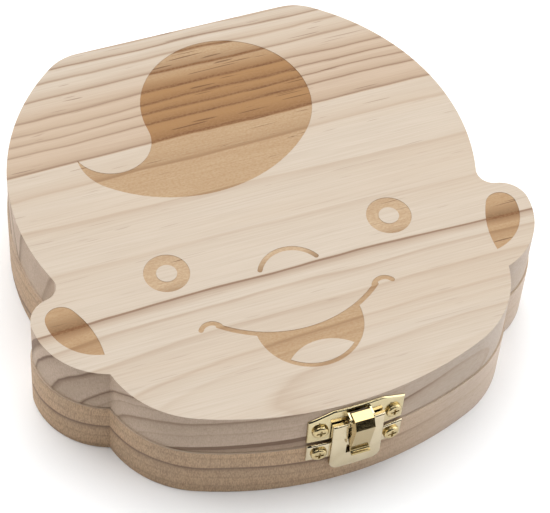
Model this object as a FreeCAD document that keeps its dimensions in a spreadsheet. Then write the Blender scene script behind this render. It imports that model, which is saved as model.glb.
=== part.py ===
# Baby tooth box: a pine keepsake box cut to the outline of a baby's head.
# The lid swings on two brass butt hinges at the back, and a brass tongue clasp holds it at the front.
# Millimetres, +Z up, origin under the middle of the base, clasp towards -Y, hinges towards +Y.

import FreeCAD
import Part
import Sketcher
import math
import os
from types import SimpleNamespace

SIZES = (
    # Outline of the head in plan: chin, cheek, ear, crown and flat back edge
    ("chin_front_y", -58.0),
    ("chin_radius", 87.0),
    ("cheek_radius", 24.0),
    ("cheek_centre_x", 24.0),
    ("ear_out", 5.2),
    ("ear_tip_y", -17.2),
    ("ear_lower_radius", 18.0),
    ("ear_upper_radius", 6.5),
    ("ear_root_radius", 3.8),
    ("head_radius", 54.8),
    ("head_centre_y", 12.2),
    ("back_corner_radius", 12.0),
    ("back_cut", 9.0),
    # The two blocks: the base is a little larger all round than the lid
    ("base_height", 15.5),
    ("lid_thickness", 13.0),
    ("rim_step", 0.4),
    # Tooth wells, two arcs like the two jaws
    ("wells_per_jaw", 10),
    ("well_radius", 4.5),
    ("well_depth", 10.0),
    ("jaw_margin", 14.8),
    ("jaw_sweep", 156.0),
    ("upper_jaw_y", 4.0),
    ("lower_jaw_y", -2.0),
    # Keepsake hollows with round ends
    ("hollow_length", 46.0),
    ("hollow_width", 20.0),
    ("hollow_depth", 10.0),
    ("upper_hollow_y", 13.5),
    ("lower_hollow_y", -11.5),
    # Burnt face: rings, arcs and leaf shapes sunk into the lid
    ("burn_depth", 0.1),
    ("stroke", 1.1),
    ("eye_x", 27.0),
    ("eye_y", -12.1),
    ("eye_radius", 5.25),
    ("pupil_radius", 2.4),
    ("nose_radius", 7.7),
    ("nose_top_y", -13.8),
    ("nose_sweep", 124.0),
    ("smile_x", -2.1),
    ("smile_radius", 29.0),
    ("smile_bottom_y", -36.5),
    ("smile_sweep", 81.0),
    ("dimple_reach", 20.6),
    ("dimple_y", -30.9),
    ("dimple_radius", 2.6),
    ("dimple_sweep", 118.0),
    ("mouth_x", -1.35),
    ("mouth_radius", 12.3),
    ("mouth_y", -34.6),
    ("lip_width", 0.95),
    ("gum_top_y", -40.0),
    ("gum_radius", 10.8),
    ("ear_inset", 3.2),
    ("ear_leaf_radius", 12.0),
    ("ear_leaf_crown", 3.6),
    ("ear_leaf_side", 24.0),
    ("ear_leaf_tip_y", -29.0),
    ("lock_x", 2.9),
    ("lock_back_margin", 5.7),
    ("lock_radius", 20.5),
    ("lock_sweep_radius", 36.0),
    ("lock_sweep_angle", 45.0),
    ("lock_tail_radius", 12.0),
    ("lock_tail_angle", 48.0),
    ("lock_curl_radius", 9.6),
    ("lock_curl_drop", 3.2),
    # Butt hinges at the two ends of the flat back edge
    ("hinge_margin", 0.25),
    ("hinge_length", 18.0),
    ("middle_knuckle", 6.0),
    ("knuckle_gap", 0.15),
    ("barrel_radius", 1.6),
    ("barrel_clearance", 0.3),
    ("notch_clearance", 0.25),
    ("leaf_height", 8.0),
    ("leaf_thickness", 0.8),
    ("hinge_pin_radius", 0.75),
    ("hinge_pin_head", 0.4),
    ("running_clearance", 0.05),
    ("hinge_screw_spacing", 11.0),
    ("hinge_screw_drop", 4.9),
    # Wood screws
    ("shank_radius", 0.8),
    ("screw_length", 6.0),
    ("screw_point", 1.6),
    ("sunk_head_radius", 1.6),
    ("pan_head_radius", 1.9),
    ("pan_head_height", 0.9),
    ("pan_head_round", 0.6),
    ("cross_length", 2.1),
    ("cross_width", 0.5),
    ("cross_depth", 0.45),
    # Clasp: rises are from the joint of base and lid, depths are out from the lid's wall
    ("clasp_x", 1.3),
    ("clasp_width", 22.9),
    ("clasp_sheet", 0.6),
    ("clasp_screw_spacing", 17.3),
    ("upper_plate_low", 1.5),
    ("upper_plate_shoulder", 9.4),
    ("upper_plate_top", 11.9),
    ("upper_plate_top_width", 11.6),
    ("upper_screw_rise", 5.9),
    ("lower_plate_low", -4.9),
    ("lower_plate_top", 0.6),
    ("lower_screw_rise", -2.2),
    ("panel_width", 12.3),
    ("panel_out", 2.0),
    ("panel_back_gap", 0.3),
    ("panel_low", -8.8),
    ("panel_top", 7.7),
    ("panel_corner_radius", 2.2),
    ("catch_bar", 1.1),
    ("catch_clearance", 0.2),
    ("window_low", -3.3),
    ("window_clearance", 0.35),
    ("tongue_width", 4.5),
    ("tongue_sheet", 0.5),
    ("tongue_axis_out", 2.4),
    ("tongue_axis_rise", 9.9),
    ("tongue_crown", 1.3),
    ("tongue_behind", 1.0),
    ("tongue_ahead", 1.5),
    ("brow_drop", 2.2),
    ("brow_out", 1.1),
    ("tongue_foot_out", 3.4),
    ("tongue_foot_rise", -0.3),
    ("tongue_lip_radius", 0.65),
    ("tongue_lip_sweep", 100.0),
    ("hook_back", 0.95),
    ("hook_heel_rise", 2.5),
    ("snap_radius", 0.45),
    ("snap_depth", 0.2),
    ("snap_out", 2.6),
    ("snap_rise", 5.1),
    ("slot_low", 7.6),
    ("slot_high", 10.6),
    ("clasp_pin_radius", 0.5),
    ("clasp_pin_head", 0.2),
    ("lug_radius", 0.85),
    ("lug_thickness", 0.4),
    ("lug_gap", 0.15),
)

PARTS_FOLDER = "parts"


class Size:
    """A size from the sheet, or one worked out from others: its expression and its present value."""

    def __init__(self, text, value):
        self.text = text
        self.value = value

    def __add__(self, other):
        return Size(f"({self.text} + {other.text})", self.value + other.value)

    def __sub__(self, other):
        return Size(f"({self.text} - {other.text})", self.value - other.value)

    def __neg__(self):
        return Size(f"(-1 * {self.text})", -self.value)

    def __mul__(self, other):
        return Size(f"({self.text} * {other.text})", self.value * other.value)

    def half(self):
        return Size(f"({self.text} / 2)", self.value / 2)

    def twice(self):
        return Size(f"(2 * {self.text})", 2 * self.value)


def cosine(angle):
    return Size(f"cos({angle.text})", math.cos(math.radians(angle.value)))


def sine(angle):
    return Size(f"sin({angle.text})", math.sin(math.radians(angle.value)))


def square_root(number):
    return Size(f"sqrt({number.text})", math.sqrt(number.value))


doc = FreeCAD.newDocument("ToothBox")
sheet = doc.addObject("Spreadsheet::Sheet", "Sizes")
for row, (alias, value) in enumerate(SIZES, start=1):
    sheet.set(f"A{row}", alias)
    sheet.set(f"B{row}", str(value))
    sheet.setAlias(f"B{row}", alias)
doc.recompute()

sizes = SimpleNamespace(**{alias: Size(f"Sizes.{alias}", float(sheet.get(alias))) for alias, value in SIZES})
ZERO = Size("0", 0.0)
UPWARDS = Size("90", 90.0)
DOWNWARDS = Size("270", 270.0)
LID_TOP = sizes.base_height + sizes.lid_thickness
CHIN_CENTRE_Y = sizes.chin_front_y + sizes.chin_radius
EAR_REACH = sizes.head_radius + sizes.ear_out
BACK_EDGE_Y = sizes.head_centre_y + sizes.head_radius - sizes.back_cut
CORNER_REACH = sizes.head_radius - sizes.back_corner_radius
CORNER_RISE = CORNER_REACH - sizes.back_cut
BACK_EDGE_HALF = square_root(CORNER_REACH * CORNER_REACH - CORNER_RISE * CORNER_RISE)
JAW_RADIUS = sizes.head_radius - sizes.jaw_margin
HINGE_X = BACK_EDGE_HALF - sizes.hinge_length.half() - sizes.hinge_margin
HINGE_AXIS_Y = BACK_EDGE_Y + sizes.barrel_clearance + sizes.barrel_radius

X_AXIS = FreeCAD.Vector(1, 0, 0)
Y_AXIS = FreeCAD.Vector(0, 1, 0)
Z_AXIS = FreeCAD.Vector(0, 0, 1)
AS_DRAWN = FreeCAD.Rotation()
TURNED_OVER = FreeCAD.Rotation(Y_AXIS, 180)
TURNED_ROUND = FreeCAD.Rotation(Z_AXIS, 180)
FACING_BACK = FreeCAD.Rotation(X_AXIS, -90)
FACING_FRONT = FreeCAD.Rotation(X_AXIS, 90)
FACING_SIDE = FreeCAD.Rotation(Y_AXIS, 90)

# Each finished piece by its name
pieces = {}


# Objects and sketches

def bind(item, **properties):
    """Tie properties of an object to the sheet."""
    for name, value in properties.items():
        item.setExpression(name, value.text)


def place(item, x=ZERO, y=ZERO, z=ZERO, rotation=AS_DRAWN):
    item.Placement = FreeCAD.Placement(FreeCAD.Vector(x.value, y.value, z.value), rotation)
    for axis, value in (("x", x), ("y", y), ("z", z)):
        item.setExpression(f"Placement.Base.{axis}", value.text)
    return item


def new_body(name):
    return doc.addObject("PartDesign::Body", name)


def origin_plane(body, role):
    return next(item for item in body.Origin.OriginFeatures if item.Role == role)


def new_sketch(body, role, name, rise=ZERO, shift=ZERO):
    """A sketch on one of the body's own planes, lifted off it by rise and moved up the plane by shift."""
    sketch = body.newObject("Sketcher::SketchObject", name)
    sketch.AttachmentSupport = [(origin_plane(body, role), "")]
    sketch.MapMode = "FlatFace"
    sketch.setExpression("AttachmentOffset.Base.z", rise.text)
    sketch.setExpression("AttachmentOffset.Base.y", shift.text)
    return sketch


def relate(sketch, kind, *items):
    sketch.addConstraint(Sketcher.Constraint(kind, *items))


def dimension(sketch, kind, items, length):
    """A driving dimension tied to the sheet."""
    index = sketch.addConstraint(Sketcher.Constraint(kind, *items, length.value))
    sketch.setExpression(f"Constraints[{index}]", length.text)


def fix_x(sketch, edge, end, x):
    if x is ZERO:
        relate(sketch, "PointOnObject", edge, end, -2)
    else:
        dimension(sketch, "DistanceX", (-1, 1, edge, end), x)


def fix_y(sketch, edge, end, y):
    if y is ZERO:
        relate(sketch, "PointOnObject", edge, end, -1)
    else:
        dimension(sketch, "DistanceY", (-1, 1, edge, end), y)


def point(x, y):
    return FreeCAD.Vector(x.value, y.value, 0)


def line(sketch, start, end):
    return sketch.addGeometry(Part.LineSegment(start, end), False)


def polygon(sketch, corners):
    """A closed run of straight lines through corners given as pairs of sizes."""
    points = [point(x, y) for x, y in corners]
    edges = [line(sketch, start, end) for start, end in zip(points, points[1:] + points[:1])]
    for edge, after in zip(edges, edges[1:] + edges[:1]):
        relate(sketch, "Coincident", edge, 2, after, 1)
    for edge, (x, y) in zip(edges, corners):
        fix_x(sketch, edge, 1, x)
        fix_y(sketch, edge, 1, y)


def rectangle(left, right, low, high):
    return ((left, low), (right, low), (right, high), (left, high))


def circle(sketch, x, y, radius):
    edge = sketch.addGeometry(Part.Circle(point(x, y), Z_AXIS, radius.value), False)
    fix_x(sketch, edge, 3, x)
    fix_y(sketch, edge, 3, y)
    dimension(sketch, "Radius", (edge,), radius)


def loose_arc(sketch, centre, radius, start, end):
    """An arc drawn counterclockwise between two angles in radians."""
    if end < start:
        end += 2 * math.pi
    whole = Part.Circle(centre, Z_AXIS, radius.value)
    return sketch.addGeometry(Part.ArcOfCircle(whole, start, end), False)


def arc(sketch, centre, radius, start, end):
    """An arc whose radius is tied to the sheet."""
    edge = loose_arc(sketch, centre, radius, start, end)
    dimension(sketch, "Radius", (edge,), radius)
    return edge


def bearing(start, end):
    """The angle of the line from one point to another."""
    return math.atan2(end.y - start.y, end.x - start.x)


def polar(centre, radius, angle):
    return centre + FreeCAD.Vector(radius.value * math.cos(angle), radius.value * math.sin(angle), 0)


def crossing(centre, radius, other, other_radius, side):
    """Where two circles cross, on the left (+1) or right (-1) of the line from centre to other."""
    between = other - centre
    gap = between.Length
    along = (radius.value ** 2 - other_radius.value ** 2 + gap ** 2) / (2 * gap)
    across = math.sqrt(radius.value ** 2 - along ** 2)
    unit = between / gap
    normal = FreeCAD.Vector(-unit.y, unit.x, 0)
    return centre + unit * along + normal * (side * across)


# Features

def pad(body, sketch, length, name, symmetric=False):
    feature = body.newObject("PartDesign::Pad", name)
    feature.Profile = sketch
    feature.SideType = "Symmetric" if symmetric else "One side"
    bind(feature, Length=length)
    doc.recompute()
    return feature


def pocket(body, sketch, depth, name, symmetric=False):
    """A cut from a sketch, which has to take some material away."""
    before = body.Shape.Volume
    feature = body.newObject("PartDesign::Pocket", name)
    feature.Profile = sketch
    feature.SideType = "Symmetric" if symmetric else "One side"
    bind(feature, Length=depth)
    doc.recompute()
    if body.Shape.Volume >= before:
        raise RuntimeError(f"{name} cuts nothing")
    return feature


def turn(body, sketch, axis, name):
    feature = body.newObject("PartDesign::Revolution", name)
    feature.Profile = sketch
    feature.ReferenceAxis = (sketch, [axis])
    feature.Angle = 360
    doc.recompute()
    return feature


def mirror(body, feature, name):
    """The same feature on the other side of the body's middle plane."""
    twin = body.newObject("PartDesign::Mirrored", name)
    twin.Originals = [feature]
    twin.MirrorPlane = (origin_plane(body, "YZ_Plane"), [""])
    body.Tip = twin
    doc.recompute()


def round_edges(body, feature, chosen, radius, name):
    """Round the edges of a feature that a test picks."""
    names = [f"Edge{i}" for i, edge in enumerate(feature.Shape.Edges, start=1) if chosen(edge)]
    fillet = body.newObject("PartDesign::Fillet", name)
    fillet.Base = (feature, names)
    bind(fillet, Radius=radius)
    doc.recompute()


def group(name, items):
    compound = doc.addObject("Part::Compound", name)
    compound.Links = items
    return compound


def combine(kind, name, base, tool):
    """One solid less another (Cut), or what two solids share (Common)."""
    feature = doc.addObject(f"Part::{kind}", name)
    feature.Base = base
    feature.Tool = tool
    return feature


def fuse(name, items):
    feature = doc.addObject("Part::MultiFuse", name)
    feature.Shapes = items
    feature.Refine = True
    return feature


def keep(name, item):
    """Name a finished piece."""
    item.Label = name
    pieces[name] = item
    return item


# Wooden blocks

def head_half(body, name, rise, grow):
    """Half the head in plan, from the chin round the ear to the back edge, widened evenly by grow."""
    sketch = new_sketch(body, "XY_Plane", name, rise)
    chin_radius = sizes.chin_radius + grow
    cheek_radius = sizes.cheek_radius + grow
    lower_radius = sizes.ear_lower_radius + grow
    upper_radius = sizes.ear_upper_radius + grow
    root_radius = sizes.ear_root_radius - grow
    head_radius = sizes.head_radius + grow
    corner_radius = sizes.back_corner_radius + grow

    # Places of the arcs' centres and ends, as the constraints will have them
    lower_x = EAR_REACH - sizes.ear_lower_radius
    cheek_x = sizes.cheek_centre_x
    cheek_reach = sizes.chin_radius - sizes.cheek_radius
    corner_y = BACK_EDGE_Y - corner_radius
    corner_rise = corner_y - sizes.head_centre_y
    chin = point(ZERO, CHIN_CENTRE_Y)
    cheek = point(cheek_x, CHIN_CENTRE_Y - square_root(cheek_reach * cheek_reach - cheek_x * cheek_x))
    lower = point(lower_x, sizes.ear_tip_y)
    upper = point(EAR_REACH - sizes.ear_upper_radius, sizes.ear_tip_y)
    head = point(ZERO, sizes.head_centre_y)
    corner = point(square_root(CORNER_REACH * CORNER_REACH - corner_rise * corner_rise), corner_y)
    notch = crossing(lower, lower_radius, cheek, cheek_radius, 1)
    root = crossing(head, head_radius + root_radius, upper, upper_radius + root_radius, 1)
    back_middle = point(ZERO, BACK_EDGE_Y)

    chin_arc = arc(sketch, chin, chin_radius, -math.pi / 2, bearing(chin, cheek))
    cheek_arc = arc(sketch, cheek, cheek_radius, bearing(chin, cheek), bearing(cheek, notch))
    lower_arc = arc(sketch, lower, lower_radius, bearing(lower, notch), 0)
    upper_arc = arc(sketch, upper, upper_radius, 0, bearing(upper, root))
    root_arc = arc(sketch, root, root_radius, bearing(root, head), bearing(root, upper))
    head_arc = arc(sketch, head, head_radius, bearing(head, root), bearing(head, corner))
    corner_arc = arc(sketch, corner, corner_radius, bearing(head, corner), math.pi / 2)
    back_line = line(sketch, FreeCAD.Vector(corner.x, back_middle.y, 0), back_middle)
    middle_line = line(sketch, back_middle, point(ZERO, CHIN_CENTRE_Y - chin_radius))

    relate(sketch, "Tangent", chin_arc, 2, cheek_arc, 1)
    relate(sketch, "Coincident", cheek_arc, 2, lower_arc, 1)
    relate(sketch, "Tangent", lower_arc, 2, upper_arc, 1)
    relate(sketch, "Tangent", upper_arc, 2, root_arc, 2)
    relate(sketch, "Tangent", root_arc, 1, head_arc, 1)
    relate(sketch, "Tangent", head_arc, 2, corner_arc, 1)
    relate(sketch, "Tangent", corner_arc, 2, back_line, 1)
    relate(sketch, "Horizontal", back_line)
    relate(sketch, "Coincident", back_line, 2, middle_line, 1)
    relate(sketch, "Coincident", middle_line, 2, chin_arc, 1)
    fix_x(sketch, middle_line, 1, ZERO)
    fix_x(sketch, middle_line, 2, ZERO)
    fix_y(sketch, middle_line, 1, BACK_EDGE_Y)
    fix_x(sketch, chin_arc, 3, ZERO)
    fix_y(sketch, chin_arc, 3, CHIN_CENTRE_Y)
    fix_x(sketch, cheek_arc, 3, cheek_x)
    fix_x(sketch, lower_arc, 3, lower_x)
    fix_y(sketch, lower_arc, 3, sizes.ear_tip_y)
    fix_y(sketch, upper_arc, 3, sizes.ear_tip_y)
    fix_x(sketch, head_arc, 3, ZERO)
    fix_y(sketch, head_arc, 3, sizes.head_centre_y)
    return sketch


def head_block(name, rise, thickness, grow):
    """A whole head-shaped block of wood."""
    body = new_body(name)
    half = pad(body, head_half(body, f"{name}_outline", rise, grow), thickness, f"{name}_half")
    mirror(body, half, f"{name}_whole")
    return body


def jaw_wells(body, name, jaw_y, first_angle):
    """An arc of round tooth wells, drilled from the top of the base."""
    sketch = new_sketch(body, "XY_Plane", f"{name}_well", sizes.base_height, jaw_y)
    x = JAW_RADIUS * cosine(first_angle)
    y = JAW_RADIUS * sine(first_angle)
    circle(sketch, x, y, sizes.well_radius)
    well = pocket(body, sketch, sizes.well_depth, f"{name}_first_well")
    row = body.newObject("PartDesign::PolarPattern", f"{name}_wells")
    row.Originals = [well]
    row.Axis = (sketch, ["N_Axis"])
    bind(row, Angle=sizes.jaw_sweep, Occurrences=sizes.wells_per_jaw)
    body.Tip = row
    doc.recompute()


def keepsake_hollow(body, name, middle_y):
    """A hollow with straight sides and half-round ends."""
    sketch = new_sketch(body, "XY_Plane", f"{name}_plan", sizes.base_height, middle_y)
    end_radius = sizes.hollow_width.half()
    end_x = sizes.hollow_length.half() - end_radius
    right = point(end_x, ZERO)
    left = point(-end_x, ZERO)
    up = point(ZERO, end_radius)
    right_end = arc(sketch, right, end_radius, -math.pi / 2, math.pi / 2)
    left_end = arc(sketch, left, end_radius, math.pi / 2, 1.5 * math.pi)
    far_side = line(sketch, right + up, left + up)
    near_side = line(sketch, left - up, right - up)
    relate(sketch, "Tangent", right_end, 2, far_side, 1)
    relate(sketch, "Tangent", far_side, 2, left_end, 1)
    relate(sketch, "Tangent", left_end, 2, near_side, 1)
    relate(sketch, "Tangent", near_side, 2, right_end, 1)
    relate(sketch, "Horizontal", far_side)
    fix_x(sketch, right_end, 3, end_x)
    fix_y(sketch, right_end, 3, ZERO)
    fix_x(sketch, left_end, 3, -end_x)
    pocket(body, sketch, sizes.hollow_depth, name)


# Burnt face on the lid

def face_sketch(body, name):
    return new_sketch(body, "XY_Plane", name, LID_TOP)


def burn(body, sketch, name):
    return pocket(body, sketch, sizes.burn_depth, name)


def arc_stroke(sketch, x, y, radius, middle_angle, sweep):
    """A line of even width with round ends, bent round a centre."""
    half_width = sizes.stroke.half()
    first = middle_angle - sweep.half()
    last = middle_angle + sweep.half()
    start = math.radians(first.value)
    end = math.radians(last.value)
    centre = point(x, y)
    outer = arc(sketch, centre, radius + half_width, start, end)
    inner = arc(sketch, centre, radius - half_width, start, end)
    last_cap = loose_arc(sketch, polar(centre, radius, end), half_width, end, end + math.pi)
    first_cap = loose_arc(sketch, polar(centre, radius, start), half_width, start + math.pi, start + 2 * math.pi)
    relate(sketch, "Tangent", outer, 2, last_cap, 1)
    relate(sketch, "Tangent", last_cap, 2, inner, 2)
    relate(sketch, "Tangent", inner, 1, first_cap, 1)
    relate(sketch, "Tangent", first_cap, 2, outer, 1)
    relate(sketch, "Coincident", outer, 3, inner, 3)
    fix_x(sketch, outer, 3, x)
    fix_y(sketch, outer, 3, y)
    fix_x(sketch, last_cap, 3, x + radius * cosine(last))
    fix_x(sketch, first_cap, 3, x + radius * cosine(first))


def burn_eyes(body):
    sketch = face_sketch(body, "eye_ring")
    circle(sketch, sizes.eye_x, sizes.eye_y, sizes.eye_radius)
    circle(sketch, sizes.eye_x, sizes.eye_y, sizes.pupil_radius)
    mirror(body, burn(body, sketch, "right_eye"), "left_eye")


def burn_nose(body):
    sketch = face_sketch(body, "nose_line")
    centre_y = sizes.nose_top_y - sizes.nose_radius
    arc_stroke(sketch, ZERO, centre_y, sizes.nose_radius, UPWARDS, sizes.nose_sweep)
    burn(body, sketch, "nose")


def burn_smile(body):
    """The smile's line and a dimple across each end of it."""
    sketch = face_sketch(body, "smile_line")
    centre_y = sizes.smile_bottom_y + sizes.smile_radius
    arc_stroke(sketch, sizes.smile_x, centre_y, sizes.smile_radius, DOWNWARDS, sizes.smile_sweep)
    burn(body, sketch, "smile")
    sketch = face_sketch(body, "dimple_lines")
    for x in (sizes.smile_x - sizes.dimple_reach, sizes.smile_x + sizes.dimple_reach):
        arc_stroke(sketch, x, sizes.dimple_y, sizes.dimple_radius, UPWARDS, sizes.dimple_sweep)
    burn(body, sketch, "dimples")


def burn_mouth(body):
    """The open mouth under the smile, with the lower gum left standing in it."""
    sketch = face_sketch(body, "mouth_shape")
    smile_y = sizes.smile_bottom_y + sizes.smile_radius
    gum_y = sizes.gum_top_y - sizes.gum_radius
    floor_radius = sizes.mouth_radius - sizes.lip_width
    smile = point(sizes.smile_x, smile_y)
    mouth = point(sizes.mouth_x, sizes.mouth_y)
    gum = point(sizes.mouth_x, gum_y)
    right = crossing(mouth, sizes.mouth_radius, smile, sizes.smile_radius, -1)
    left = crossing(mouth, sizes.mouth_radius, smile, sizes.smile_radius, 1)
    gum_right = crossing(gum, sizes.gum_radius, mouth, floor_radius, -1)
    gum_left = crossing(gum, sizes.gum_radius, mouth, floor_radius, 1)
    upper_lip = arc(sketch, smile, sizes.smile_radius, bearing(smile, left), bearing(smile, right))
    lower_lip = arc(sketch, mouth, sizes.mouth_radius, bearing(mouth, left), bearing(mouth, right))
    gum_line = arc(sketch, gum, sizes.gum_radius, bearing(gum, gum_right), bearing(gum, gum_left))
    gum_floor = arc(sketch, mouth, floor_radius, bearing(mouth, gum_left), bearing(mouth, gum_right))
    relate(sketch, "Coincident", upper_lip, 1, lower_lip, 1)
    relate(sketch, "Coincident", upper_lip, 2, lower_lip, 2)
    relate(sketch, "Coincident", gum_line, 2, gum_floor, 1)
    relate(sketch, "Coincident", gum_line, 1, gum_floor, 2)
    fix_x(sketch, upper_lip, 3, sizes.smile_x)
    fix_y(sketch, upper_lip, 3, smile_y)
    for edge, centre_y in ((lower_lip, sizes.mouth_y), (gum_line, gum_y), (gum_floor, sizes.mouth_y)):
        fix_x(sketch, edge, 3, sizes.mouth_x)
        fix_y(sketch, edge, 3, centre_y)
    burn(body, sketch, "mouth")


def burn_ears(body):
    """A leaf in each ear: a wide outer arc, a small crown and a nearly straight inner side."""
    sketch = face_sketch(body, "ear_leaf")
    leaf_reach = EAR_REACH - sizes.ear_inset
    outer_x = leaf_reach - sizes.ear_leaf_radius
    drop = sizes.ear_tip_y - sizes.ear_leaf_tip_y
    tip_out = square_root(sizes.ear_leaf_radius * sizes.ear_leaf_radius - drop * drop)
    outer = point(outer_x, sizes.ear_tip_y)
    crown = point(leaf_reach - sizes.ear_leaf_crown, sizes.ear_tip_y)
    tip = point(outer_x + tip_out, sizes.ear_leaf_tip_y)
    inner = crossing(crown, sizes.ear_leaf_side - sizes.ear_leaf_crown, tip, sizes.ear_leaf_side, 1)
    outer_arc = arc(sketch, outer, sizes.ear_leaf_radius, bearing(outer, tip), 0)
    crown_arc = arc(sketch, crown, sizes.ear_leaf_crown, 0, bearing(inner, crown))
    inner_arc = arc(sketch, inner, sizes.ear_leaf_side, bearing(inner, crown), bearing(inner, tip))
    relate(sketch, "Tangent", outer_arc, 2, crown_arc, 1)
    relate(sketch, "Tangent", crown_arc, 2, inner_arc, 1)
    relate(sketch, "Coincident", inner_arc, 2, outer_arc, 1)
    fix_x(sketch, outer_arc, 3, outer_x)
    fix_y(sketch, outer_arc, 3, sizes.ear_tip_y)
    fix_y(sketch, crown_arc, 3, sizes.ear_tip_y)
    fix_y(sketch, outer_arc, 1, sizes.ear_leaf_tip_y)
    mirror(body, burn(body, sketch, "right_ear_leaf"), "left_ear_leaf")


def burn_lock(body):
    """The lock of hair: a round lobe whose lower edge sweeps out into a curled tail."""
    sketch = face_sketch(body, "lock_shape")
    lock_y = BACK_EDGE_Y - sizes.lock_back_margin - sizes.lock_radius
    curl_y = lock_y - sizes.lock_curl_drop
    sweep_reach = sizes.lock_sweep_radius - sizes.lock_radius
    sweep_x = sizes.lock_x - sweep_reach * cosine(sizes.lock_sweep_angle)
    sweep_y = lock_y + sweep_reach * sine(sizes.lock_sweep_angle)
    tail_reach = sizes.lock_sweep_radius - sizes.lock_tail_radius
    tail_x = sweep_x - tail_reach * cosine(sizes.lock_tail_angle)
    tail_y = sweep_y - tail_reach * sine(sizes.lock_tail_angle)
    curl_reach = sizes.lock_radius + sizes.lock_curl_radius
    curl_drop = sizes.lock_curl_drop
    curl_x = sizes.lock_x - square_root(curl_reach * curl_reach - curl_drop * curl_drop)
    lobe = point(sizes.lock_x, lock_y)
    sweep = point(sweep_x, sweep_y)
    tail = point(tail_x, tail_y)
    curl = point(curl_x, curl_y)
    tip = crossing(tail, sizes.lock_tail_radius, curl, sizes.lock_curl_radius, 1)
    lobe_arc = arc(sketch, lobe, sizes.lock_radius, bearing(sweep, lobe), bearing(lobe, curl))
    curl_arc = arc(sketch, curl, sizes.lock_curl_radius, bearing(curl, tip), bearing(curl, lobe))
    tail_arc = arc(sketch, tail, sizes.lock_tail_radius, bearing(tail, tip), bearing(sweep, tail))
    sweep_arc = arc(sketch, sweep, sizes.lock_sweep_radius, bearing(sweep, tail), bearing(sweep, lobe))
    relate(sketch, "Tangent", lobe_arc, 2, curl_arc, 2)
    relate(sketch, "Coincident", curl_arc, 1, tail_arc, 1)
    relate(sketch, "Tangent", tail_arc, 2, sweep_arc, 1)
    relate(sketch, "Tangent", sweep_arc, 2, lobe_arc, 1)
    fix_x(sketch, lobe_arc, 3, sizes.lock_x)
    fix_y(sketch, lobe_arc, 3, lock_y)
    fix_x(sketch, sweep_arc, 3, sweep_x)
    fix_x(sketch, tail_arc, 3, tail_x)
    fix_y(sketch, curl_arc, 3, curl_y)
    burn(body, sketch, "hair_lock")


# Wood screws

def screw_blank(name, head_radius, head_height):
    """A turned screw along its own Z, with its head's seat or rim at z = 0 and its point down."""
    body = new_body(f"{name}_blank")
    sketch = new_sketch(body, "XZ_Plane", f"{name}_profile")
    shank = sizes.shank_radius
    corners = [(ZERO, -sizes.screw_length), (shank, sizes.screw_point - sizes.screw_length)]
    if head_height is ZERO:
        corners += [(shank, shank - head_radius), (head_radius, ZERO), (ZERO, ZERO)]
    else:
        corners += [(shank, ZERO), (head_radius, ZERO), (head_radius, head_height), (ZERO, head_height)]
    polygon(sketch, corners)
    turned = turn(body, sketch, "V_Axis", f"{name}_turned")
    if head_height is not ZERO:
        def at_rim(edge):
            return edge.BoundBox.ZMin > head_height.half().value and edge.BoundBox.XLength > head_radius.value

        round_edges(body, turned, at_rim, sizes.pan_head_round, f"{name}_round")
    return body


def screw_cross(name, head_height):
    """The cross that the driver sits in."""
    body = new_body(f"{name}_cross")
    sketch = new_sketch(body, "XY_Plane", f"{name}_cross_plan", head_height - sizes.cross_depth)
    near = sizes.cross_width.half()
    far = sizes.cross_length.half()
    polygon(sketch, (
        (near, near), (far, near), (far, -near), (near, -near), (near, -far), (-near, -far),
        (-near, -near), (-far, -near), (-far, near), (-near, near), (-near, far), (near, far),
    ))
    pad(body, sketch, sizes.cross_depth.twice(), f"{name}_cross_block")
    return body


def screw(name, head_radius, head_height, x, y, z, rotation):
    """A cross-headed wood screw where it is driven; returns its plain form, which drills its hole."""
    blank = place(screw_blank(name, head_radius, head_height), x, y, z, rotation)
    cross = place(screw_cross(name, head_height), x, y, z, rotation)
    keep(name, combine("Cut", f"{name}_whole", blank, cross))
    return blank


# Butt hinges

def hinge_leaf(name, hinge_x, on_lid):
    """A flat leaf with its share of the barrel, drawn about the hinge's axis with the leaf downwards."""
    body = new_body(f"{name}_blank")
    leaf_back = -(sizes.barrel_radius + sizes.barrel_clearance)
    sketch = new_sketch(body, "YZ_Plane", f"{name}_end")
    polygon(sketch, rectangle(leaf_back, leaf_back + sizes.leaf_thickness, -sizes.leaf_height, ZERO))
    pad(body, sketch, sizes.hinge_length, f"{name}_plate", symmetric=True)
    sketch = new_sketch(body, "YZ_Plane", f"{name}_barrel_end")
    circle(sketch, ZERO, ZERO, sizes.barrel_radius)
    pad(body, sketch, sizes.hinge_length, f"{name}_barrel", symmetric=True)

    half_knuckle = sizes.middle_knuckle.half()
    low = -(sizes.barrel_radius + sizes.notch_clearance)
    high = sizes.barrel_radius.twice()
    sketch = new_sketch(body, "XZ_Plane", f"{name}_notch")
    if on_lid:
        polygon(sketch, rectangle(half_knuckle, sizes.hinge_length, low, high))
        polygon(sketch, rectangle(-sizes.hinge_length, -half_knuckle, low, high))
        bore = sizes.hinge_pin_radius + sizes.running_clearance
    else:
        side = half_knuckle + sizes.knuckle_gap
        polygon(sketch, rectangle(-side, side, low, high))
        bore = sizes.hinge_pin_radius
    pocket(body, sketch, high.twice(), f"{name}_notches", symmetric=True)
    sketch = new_sketch(body, "YZ_Plane", f"{name}_bore_end")
    circle(sketch, ZERO, ZERO, bore)
    pocket(body, sketch, sizes.hinge_length.twice(), f"{name}_bore", symmetric=True)
    return place(body, hinge_x, HINGE_AXIS_Y, sizes.base_height, TURNED_OVER if on_lid else AS_DRAWN)


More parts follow.
